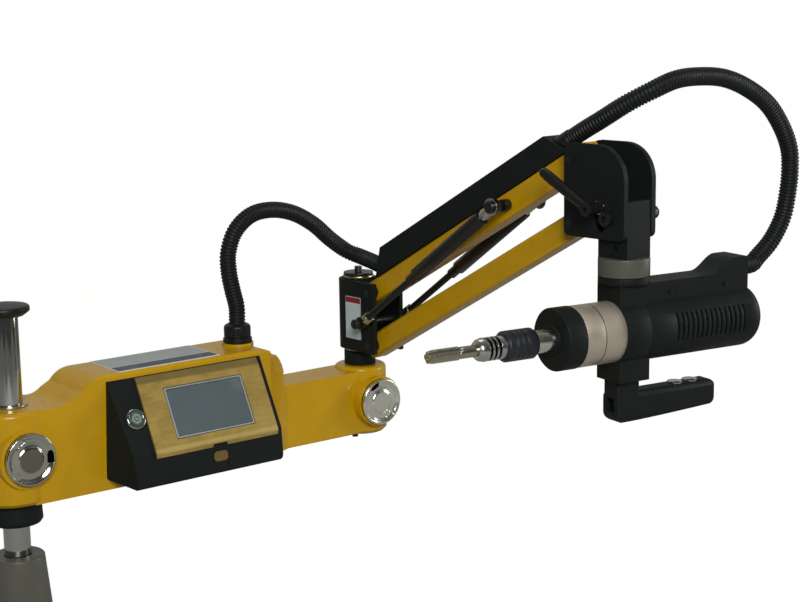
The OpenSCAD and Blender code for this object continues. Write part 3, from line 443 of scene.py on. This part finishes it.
def printed(name, slot, where, size, border, field, edge, bands):
    """A bare printed plate: a plain field in a thin pale border, and plain bands across it.
    Distances are from the plate's centre in mm; bands lists each band's lower and upper y and its colour."""
    f = Finish(name, slot)
    x, y = f.local(where)[:2]
    paint = f.blend(f.spread(f.noise(50.0, 3.0), 0, 1), tint(field, 0.95), tint(field, 1.05))
    for low, high, colour in bands:
        paint = f.blend(f.step(f.within(y, low, high), 0, ON_EDGE), paint, colour)
    field_ends = [(size[k] / 2 - border) * MM for k in (0, 1)]
    past = [f.math(f.math(v, 0.0, "ABSOLUTE"), end, "SUBTRACT") for v, end in zip((x, y), field_ends)]
    f.to("Base Color", f.blend(f.step(f.math(past[0], past[1], "MAXIMUM"), 0, ON_EDGE), paint, edge))
    f.to("Roughness", f.spread(f.noise(90.0, 3.0), 0.36, 0.48))
    f.to("Specular IOR Level", 0.3)
    f.bump(f.noise(900.0, 2.0), 0.00001)
    return f.mat


def ringed(name, slot, where, bands, rough, metal):
    """A round face in rings of colour: bands lists each one's inner radius in mm and colour, centre first."""
    f = Finish(name, slot)
    x, y = f.local(where)[:2]
    reach = f.reach(x, y)
    paint = bands[0][1]
    for inner, colour in bands[1:]:
        paint = f.blend(f.step(reach, inner, LATHE_FADE), paint, colour)
    f.to("Base Color", paint)
    f.to("Roughness", f.spread(f.noise(300.0, 3.0), rough - 0.05, rough + 0.05))
    f.to("Metallic", metal)
    f.bump(f.noise(1200.0, 2.0), 0.000008)
    return f.mat


YELLOW = coating(
    "yellow_enamel", "yellow_paint", srgb(190, 146, 6), rough=0.3, grain=120, depth=0.000014, shade=0.05,
    coat=0.12, gloss=0.28,
)
DARK = coating(
    "dark_powder_coat", "dark_paint", srgb(22, 27, 24), rough=0.55, grain=1900, depth=0.00004, gloss=0.14
)
BASE = coating(
    "base_powder_coat", "base_paint", srgb(44, 47, 45), rough=0.5, grain=1700, depth=0.00006, gloss=0.3
)
GREY = coating(
    "grey_enamel", "grey_paint", srgb(84, 84, 74), rough=0.4, grain=500, depth=0.00003, shade=0.08, gloss=0.35
)
CHROME = coating(
    "ground_chrome", "chrome_steel", srgb(180, 182, 176), rough=0.08, grain=900, depth=0.000003, shade=0.03,
    metal=1.0, spread=0.03,
)
PLASTIC = coating(
    "black_plastic", "black_plastic", srgb(18, 20, 19), rough=0.38, grain=2600, depth=0.00002, gloss=0.3
)
OXIDE = coating(
    "black_oxide", "black_steel", srgb(20, 21, 20), rough=0.32, grain=1500, depth=0.00001, shade=0.15,
    gloss=0.4,
)
ZINC = coating(
    "zinc_plate", "zinc_steel", srgb(176, 172, 138), rough=0.26, grain=1200, depth=0.00001, shade=0.12,
    metal=1.0,
)
SILVER = coating(
    "screen_frame", "silver_frame", srgb(166, 172, 174), rough=0.4, grain=900, depth=0.00001, shade=0.05,
    metal=0.3,
)
# The port tab: brass coloured darker than the bezel's.
DARKER_BRASS = coating(
    "darker_brass_tab", "gold_panel", srgb(112, 88, 46), rough=0.5, grain=900, depth=0.00002, shade=0.2, metal=0.15,
    gloss=0.3,
)
GLASS = coating(
    "screen_glass", "screen", srgb(88, 98, 100), rough=0.12, grain=300, depth=0.000002, shade=0.04, coat=0.2,
    gloss=0.3,
)
HOSE = coating(
    "hose_rubber", "hose_grey", srgb(22, 27, 25), rough=0.42, grain=1500, depth=0.00002, shade=0.12, gloss=0.2
)
# Both caps are the same turned steel. The right one is coloured lighter: painted light for the pale
# reflection it catches on that side. The left one's centre disc is coloured darker, and both are painted near
# black below 1.9 mm, as shade in the deepest slot.
TURNED_LEFT = lathed(
    "turned_cap_left", "turned_steel", srgb(186, 186, 174), 0.15, LEFT_CAP, pit=1.9,
    groove=(12.9, -60, srgb(132, 128, 112)),
)
TURNED_RIGHT = lathed("turned_cap_right", "turned_steel", srgb(228, 228, 215), 0.18, RIGHT_CAP, pit=1.9)
BRONZE = lathed("turned_bush", "turned_steel", srgb(190, 186, 176), 0.26, WORLD)
STEEL = lathed("turned_spindle", "turned_steel", srgb(208, 209, 200), 0.15, SPINDLE_AXIS)
TAP_STEEL = lathed("ground_tap", "tap_steel", srgb(176, 172, 152), 0.24, SPINDLE_AXIS, depth=0.000004)
ALLOY = lathed(
    "turned_alloy", "gear_alloy", srgb(194, 183, 165), 0.44, SPINDLE_AXIS, pitch=0.5, metal=0.7, shade=0.05,
    seam=-45,
)
# Painted shade: the chuck is near black inside its grooves and wherever it is narrower than 11.1 mm above
# -171 mm.
NOSE_STEEL = lathed(
    "bright_nose", "turned_steel", srgb(188, 190, 184), 0.22, SPINDLE_AXIS, pitch=0.6,
    groove=(11.1, -171, srgb(18, 19, 19)),
)
SLEEVE_STEEL = lathed(
    "blued_sleeve", "black_steel", srgb(27, 31, 38), 0.42, SPINDLE_AXIS, metal=0.1, depth=0.000006
)
# The bezel's bands: painted shade on the top band, which bends back under the casting's edge, and a painted
# highlight on the rounded lower fold.
GOLD = brushed(
    "gold_panel", "gold_panel", srgb(160, 135, 66), 0.46, PANEL, (0.25, 2.2, 1.0), shade=0.2, metal=0.15,
    bands=[(37, 50, srgb(104, 88, 48), 0.75), (-41, -36, srgb(190, 168, 100), 0.6)],
)
PLATE_TOP = printed(
    "top_plate_print", "label_metal", TOP_PLATE, (127, 67), 1.2, srgb(158, 164, 160), srgb(205, 212, 208),
    [(-31.5, -12, srgb(64, 68, 78)), (-33, -31.5, srgb(158, 164, 160)), (-12, -10.8, srgb(205, 212, 208))],
)
PLATE_SIDE = printed(
    "side_plate_print", "label_metal", SIDE_PLATE, (27, 51), 0.5, srgb(186, 200, 200), srgb(150, 160, 160),
    [(18.0, 24.6, srgb(134, 28, 42)), (17.2, 18.0, srgb(205, 214, 214))],
)
BUTTON_FACE = ringed(
    "button_face",
    "turned_steel",
    POWER,
    [(0, srgb(150, 156, 148)), (5.7, srgb(38, 62, 48)), (6.2, srgb(58, 116, 90)), (7.5, srgb(30, 48, 40))],
    rough=0.3,
    metal=0.3,
)

WEARS = {
    "yellow_paint": YELLOW, "dark_paint": DARK, "base_paint": BASE, "grey_paint": GREY,
    "chrome_steel": CHROME, "turned_steel": STEEL, "zinc_steel": ZINC, "black_steel": OXIDE,
    "black_plastic": PLASTIC, "gold_panel": GOLD, "silver_frame": SILVER, "screen": GLASS,
    "gear_alloy": ALLOY, "tap_steel": TAP_STEEL, "hose_grey": HOSE,
}
OWN_FINISH = {
    "column_bushes": BRONZE, "tap_chuck": NOSE_STEEL, "chuck_sleeve": SLEEVE_STEEL, "port_tab": DARKER_BRASS,
    "knuckle_plate": PLATE_SIDE, "top_plate": PLATE_TOP, "power_button": BUTTON_FACE, "power_ring": CHROME,
    "knuckle_pins": OXIDE, "spring_cross_rod": OXIDE, "bearing_cap_left": TURNED_LEFT,
    "bearing_cap_right": TURNED_RIGHT,
}

# Each node's edge rounding in mm and its segments, where they aren't the usual ones.
ROUNDED = {
    "arm_casting": (1.6, 3), "panel_housing": (1.2, 3), "base_plate": (1.5, 3), "gear_housing": (0.08, 2),
    "tap_chuck": (0.2, 2), "chuck_sleeve": (0.3, 2), "top_plate": (0.2, 2), "knuckle_plate": (0.2, 2),
}
USUAL_ROUNDING = (0.5, 2)
WELD_WITHIN = 0.002
SHARPEST_SMOOTH = 38


def dress(name, node, slot):
    """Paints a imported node, joins its loose triangles and rounds its sharp edges."""
    node.data.materials.clear()
    node.data.materials.append(OWN_FINISH[name] if name in OWN_FINISH else WEARS[slot])
    weld = node.modifiers.new("weld", "WELD")
    weld.merge_threshold = WELD_WITHIN * MM
    width, segments = ROUNDED.get(name, USUAL_ROUNDING)
    edge = node.modifiers.new("edge", "BEVEL")
    edge.width = width * MM
    edge.segments = segments
    edge.limit_method = "ANGLE"
    edge.angle_limit = np.radians(SHARPEST_SMOOTH)
    edge.harden_normals = True


slots = {s["node"]: s["material_slot"] for s in frame["record"]["subparts"]}
for name, node in nodes.items():
    dress(name, node, slots[name])


# ---- hoses ---------------------------------------------------------------------

HOSE_WIDTH, RIB_PITCH, RIB_DEEP, RIB_FLATNESS, RIB_LEAN = 19.0, 3.7, 1.1, 2.2, 0.35
HOSE_SIDES, ROUTE_STEPS, BEND_MARGIN = 28, 40, 0.12


def ribbed(line):
    """A corrugated hose's centres and radii: wide crests and narrow valleys, a flattened cosine of length."""
    points, s = along(line, RIB_PITCH / 10)
    wave = np.tanh(RIB_FLATNESS * (np.cos(2 * np.pi * s / RIB_PITCH) + RIB_LEAN)) / np.tanh(RIB_FLATNESS)
    return points, HOSE_WIDTH / 2 - RIB_DEEP / 2 * (1 - wave)


def hose(name, route, lengths):
    """A ribbed hose along a route, made in lengths that each cross one joint: lengths holds the share
    of the whole at which each one ends, its two bodies and what it stands for. Neighbours share a ring."""
    line, radius = ribbed(catmull(route, ROUTE_STEPS))
    skin = tube(line, radius, HOSE_SIDES)
    first = 0
    for k, (share, near, far, node) in enumerate(lengths):
        last = int(round(share * (len(line) - 1)))
        piece = put(f"{name}_{k + 1}", skin[first : last + 1], WORLD, HOSE, near, sharp=80, stands_for=node)
        piece.parent = None
        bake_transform(piece)
        first = last


# The cable cover's sloping lower end, where the first hose goes in square to it.
FACET = np.arctan2(28, 25)
INLET = np.array([20, 13 + 7 * np.tan(FACET)])
FACET_OUT = np.array([-np.sin(FACET), np.cos(FACET)])


def inlet_end(out):
    """The point out mm in front of the cover's inlet."""
    x, z = INLET + out * FACET_OUT
    return in_world(UPPER_LINK, x, 0, z)


arm_route = [
    [285, 3, 388], [285, 3, 407], [280.5, 3, 426], [276.5, 3, 447], [276.5, 3, 470], [287, 3, 494],
    [309, 3, 510], [338, 4, 513], [369, 6, 506], [399, 9, 490], [425, 12, 469.5], [446, 8, 453.5],
    [457, -7, 446.5], inlet_end(19), inlet_end(0.3),
]
head_bends = [
    [379, 3, 627], [404, 11, 643], [423, 27, 656], [433, 53, 666], [439, 84, 668], [445, 116, 665],
    [449, 149, 654], [454, 179, 636], [456, 202, 612], [458, 215, 587], [458, 218, 562], [457, 216, 537],
    [456, 209, 512], [453, 194, 489], [448, 176, 472],
]
head_route = [in_world(UPPER_LINK, x, 0, 26) for x in (357, 376)]
head_route += [in_world(KNUCKLE, *p) for p in head_bends]
head_route += [in_world(MOTOR, x, 0, 51.5) for x in (170, 151.3)]
hose(
    "hose_arm",
    arm_route,
    [(0.64, "swing_arm", "knuckle", ["hose_arm"]), (1, "knuckle", "upper_arm_link", [])],
)
hose(
    "hose_head",
    head_route,
    [
        (0.25, "upper_arm_link", "head_end", ["hose_head"]),
        (0.53, "head_end", "neck", []),
        (1, "neck", "motor_head", []),
    ],
)


# ---- pieces --------------------------------------------------------------------

CAP_FACE = [[0.5, 5], [12.6, 5], [14.6, 3.3], [21, 2.7], [24.9, 5.3], [26.9, 5.5], [27.7, 4.4]]
CAP_BACK = [[27.7, 0], [12, 0], [12, -8]]
CAP_RINGS, CAP_SPOKES, CAP_SOFT = 64, 288, 1.4
SLOT_REACH, SLOT_HALF, SLOT_STRAIGHT, SLOT_ROUND, SLOT_WALL = 21.9, 3.3, 1, 5.7, 0.6


def bell(r, a, at):
    """How deep a polar point lies inside a bell-shaped slot centred at angle at, in mm: the slot's half-width
    across the radius is constant, then shrinks like an ellipse towards its round end."""
    across = r * np.cos(a - at) - SLOT_REACH
    along_rim = r * np.sin(a - at)
    rounding = np.clip(along_rim - SLOT_STRAIGHT, 0, None) / SLOT_ROUND
    half = SLOT_HALF * np.sqrt(np.clip(1 - rounding**2, 0, 1))
    return np.minimum(half - np.abs(across), along_rim + SLOT_STRAIGHT + SLOT_ROUND)


def carved_cap(name, slots, where, finish, stands_for):
    """A polished cap as one polar sheet: height is the turned profile at that radius, drawn down to a floor
    inside each slot, followed by the rim's side, the back and the stem. slots lists angles and floors."""
    line = soften(CAP_FACE, CAP_SOFT, 6)
    r = np.unique(np.r_[line[:, 0], np.linspace(CAP_FACE[0][0], CAP_FACE[-1][0], CAP_RINGS)])
    a = np.linspace(0, 2 * np.pi, CAP_SPOKES, endpoint=False)
    rr, aa = np.meshgrid(r, a, indexing="ij")
    z = np.interp(rr, line[:, 0], line[:, 1])
    for at, floor in slots:
        t = np.clip(bell(rr, aa, np.radians(at)) / SLOT_WALL, 0, 1)
        z -= (z - floor) * t * t * (3 - 2 * t)
    face = np.stack([rr * np.cos(aa), rr * np.sin(aa), z], -1)
    back = [np.stack([q * np.cos(a), q * np.sin(a), h + 0 * a], -1) for q, h in CAP_BACK]
    put(name, np.concatenate([face, back]), where, finish, "swing_arm", stands_for=[stands_for])


def power_mark():
    """The power sign on the button: an open ring and a short bar, both raised wires."""
    wire, ring_r, height = 0.32, 2.5, 3.25
    a = np.radians(np.linspace(125, 415, 40))
    ring = np.stack([ring_r * np.cos(a), ring_r * np.sin(a), height + 0 * a], -1)
    y = np.linspace(0.6, 3.4, 8)
    bar = np.stack([0 * y, y, height + 0 * y], -1)
    for name, line in (("power_mark_ring", ring), ("power_mark_bar", bar)):
        put(name, tube(line, np.full(len(line), wire), 10), POWER, PLASTIC, "power_switch")


def machine_tap():
    """The tap as rings along its axis: the radius is a triangle wave of length less angle, which makes the
    thread a helix, cut down to four flutes that run out beyond it, and a tapered lead at the point."""
    pitch, crest_r, thread_deep, thread_end, run_out = 2.0, 6.9, 1.1, 34, 1.5
    lead, lead_deep, lead_power = 7, 1.0, 1.3
    shank_r, shoulder, shoulder_end = 5.9, 0.9, 36
    flute_r, flute_out, flute_end, flute_rise = 3.7, 7.7, 32, 0.03
    point_z, point_r, tip_z, tip_r = -235, 1.9, -236.6, 0.3
    s = np.r_[np.linspace(0, 44, 353), np.linspace(44.5, 96, 30)][:, None]
    a = np.linspace(0, 2 * np.pi, 120, endpoint=False)[None, :]
    wave = np.abs(((s / pitch - a / (2 * np.pi)) % 1) - 0.5) * 2
    crest = crest_r - lead_deep * np.clip(1 - s / lead, 0, 1) ** lead_power
    thread = crest - thread_deep * wave * np.clip((thread_end - s) / run_out, 0, 1)
    shank = shank_r + shoulder * np.clip((shoulder_end - s) / (shoulder_end - thread_end), 0, 1)
    r = np.where(s < thread_end, thread, shank)
    turn = a % (np.pi / 2) - np.pi / 4
    centre = flute_out + flute_rise * np.clip(s - flute_end, 0, None) ** 2
    room = flute_r**2 - (centre * np.sin(turn)) ** 2
    flute = np.where(room > 0, centre * np.cos(turn) - np.sqrt(np.clip(room, 0, None)), np.inf)
    r = np.minimum(r, flute)
    grid = np.stack([r * np.cos(a), r * np.sin(a), s + point_z + 0 * a], -1)
    ends = ((tip_r, tip_z), (point_r, point_z))
    point = [np.stack([q * np.cos(a), q * np.sin(a), h + 0 * a], -1) for q, h in ends]
    grid = np.concatenate(point + [grid])
    put("machine_tap", grid, SPINDLE_AXIS, TAP_STEEL, "rotor", sharp=28, stands_for=["tap"])


NUT_R, NUT_FROM, NUT_TO, NUT_EDGE, NUT_TURN = 6.9, 8.2, 16.5, 0.5, 20
NECK = [[5.0, -21.6], [5.9, -21.6], [5.9, -7.6], [5.0, -7.6]]
WASHER = [[4.4, 4.05], [9.4, 4.05], [9.4, 5.4], [4.4, 5.4]]
STUD_CAP = [[0.4, 5.5], [6.9, 5.5], [6.9, 8.0], [5.6, 9.3], [0.4, 9.5]]
EYE_CAP = [[0.4, 10.35], [5.9, 10.35], [5.9, 12.2], [4.6, 13.4], [0.4, 13.6]]


def spring_fittings(side, near):
    """A gas spring's fittings: a hexagonal lock nut by the lower eye, the plated neck below the upper eye, a
    washer and a dark cap over the upper stud, and a dark cap over the lower one."""
    foot = (STUD_X, STUD_SIDE * side, STUD_Z)
    direction = np.array([np.cos(SPRING_RISE), 0, np.sin(SPRING_RISE)])
    spring = inside(KNUCKLE, foot, (0, 1, 0), direction)
    upper = inside(KNUCKLE, foot + SPRING_LENGTH * direction, (1, 0, 0), (0, side, 0))
    lower = inside(KNUCKLE, foot, (1, 0, 0), (0, side, 0))
    corners = np.radians(np.arange(6) * 60 + NUT_TURN)
    hexagon = NUT_R * np.stack([np.cos(corners), np.sin(corners)], -1)
    neck = [[r, SPRING_LENGTH + z] for r, z in NECK]
    rod, barrel = f"{near}_spring_rod", f"{near}_spring_tube"
    slab(f"lock_nut_{near}", hexagon, NUT_FROM, NUT_TO, NUT_EDGE, spring, ZINC, rod)
    turned(f"plated_neck_{near}", neck, spring, CHROME, barrel, 0.3, ring=True)
    turned(f"stud_washer_{near}", WASHER, upper, CHROME, barrel, 0.3, ring=True)
    turned(f"stud_cap_{near}", STUD_CAP, upper, OXIDE, barrel, 0.5)
    turned(f"eye_cap_{near}", EYE_CAP, lower, OXIDE, "knuckle")


left_slots = ((0, 0.8), (125, 2.3), (222, 2.3))
right_slots = ((117, 0.8), (222, 2.3), (307, 2.2))
carved_cap("turned_cap_left", left_slots, LEFT_CAP, TURNED_LEFT, "bearing_cap_left")
carved_cap("turned_cap_right", right_slots, RIGHT_CAP, TURNED_RIGHT, "bearing_cap_right")
power_mark()
machine_tap()
spring_fittings(-1, "near")
spring_fittings(1, "far")

# ---- stage: lengths in metres --------------------------------------------------

FLOOR_HALF, FLOOR_ROUGH = 40, 0.9
FLOOR_PAPER, FLOOR_GLOW = (0.3, 0.3, 0.29, 1), (1, 1, 0.995, 1)
GLOW_STRENGTH, GLOW_SEEN, GLOW_MIRRORED = 1.14, 0.86, 0.1
ROOM_BRIGHT_WAY = (0.62, 0.78, 0.1)
ROOM_COSINES, ROOM_LEVELS = (-0.5, 0.9), (0.06, 0.42)
LAMPS_FACE = np.array([0.3, -0.2, 0.4])
# Each lamp's name, place, side and watts.
LAMPS = (
    ("key", (-1.3, -2.8, 2.1), 1.3, 96),
    ("fill", (3.0, -1.4, 0.9), 1.0, 22),
    ("top", (0.6, 0.6, 2.8), 1.1, 8),
)


def lay_floor():
    """A floor that keeps a soft shadow: pale paper, mixed with a white glow for the camera and in mirrors."""
    corners = [(-1, -1), (1, -1), (1, 1), (-1, 1)]
    mesh = bpy.data.meshes.new("floor")
    mesh.from_pydata([(x * FLOOR_HALF, y * FLOOR_HALF, 0) for x, y in corners], [], [(0, 1, 2, 3)])
    floor = bpy.data.objects.new("floor", mesh)
    bpy.context.collection.objects.link(floor)
    mat = bpy.data.materials.new("floor_paper")
    mat.use_nodes = True
    tree = mat.node_tree
    paper = tree.nodes["Principled BSDF"]
    paper.inputs["Base Color"].default_value = FLOOR_PAPER
    paper.inputs["Roughness"].default_value = FLOOR_ROUGH
    glow = add(tree, "ShaderNodeEmission", [("Color", FLOOR_GLOW), ("Strength", GLOW_STRENGTH)])
    ray = add(tree, "ShaderNodeLightPath").outputs
    glossy = [(0, ray["Is Glossy Ray"]), (1, GLOW_MIRRORED)]
    mirrored = add(tree, "ShaderNodeMath", glossy, operation="MULTIPLY")
    seen = [(0, ray["Is Camera Ray"]), (1, GLOW_SEEN), (2, mirrored.outputs[0])]
    share = add(tree, "ShaderNodeMath", seen, operation="MULTIPLY_ADD")
    both = [(0, share.outputs[0]), (1, paper.outputs[0]), (2, glow.outputs[0])]
    mix = add(tree, "ShaderNodeMixShader", both)
    tree.links.new(mix.outputs[0], tree.nodes["Material Output"].inputs[0])
    mesh.materials.append(mat)


def light_room():
    """A room brighter behind the machine, by the cosine from one direction, and white to the camera."""
    world = bpy.data.worlds.new("studio")
    bpy.context.scene.world = world
    world.use_nodes = True
    tree = world.node_tree
    back = tree.nodes["Background"]
    back.inputs["Color"].default_value = (1, 1, 1, 1)
    towards = add(tree, "ShaderNodeTexCoord").outputs["Generated"]
    facing = add(tree, "ShaderNodeVectorMath", [(0, towards), (1, ROOM_BRIGHT_WAY)], operation="DOT_PRODUCT")
    ends = zip(("From Min", "From Max", "To Min", "To Max"), ROOM_COSINES + ROOM_LEVELS)
    room = add(tree, "ShaderNodeMapRange", [("Value", facing.outputs["Value"]), *ends])
    camera_ray = add(tree, "ShaderNodeLightPath").outputs["Is Camera Ray"]
    level = add(tree, "ShaderNodeMix", [(0, camera_ray), (2, room.outputs[0]), (3, 1.0)])
    tree.links.new(level.outputs[0], back.inputs["Strength"])


def hang_lamp(name, spot, side, watts):
    """A square lamp that faces the machine's middle."""
    lamp = bpy.data.objects.new(name, bpy.data.lights.new(name, "AREA"))
    lamp.data.size = side
    lamp.data.energy = watts
    bpy.context.collection.objects.link(lamp)
    away = np.array(spot) - LAMPS_FACE
    z = away / np.linalg.norm(away)
    x = np.cross([0, 0, 1], z)
    x /= np.linalg.norm(x)
    stand(lamp, np.array([x, np.cross(z, x), z]), spot)


lay_floor()
light_room()
for lamp in LAMPS:
    hang_lamp(*lamp)
bpy.context.scene.view_settings.view_transform = "Standard"
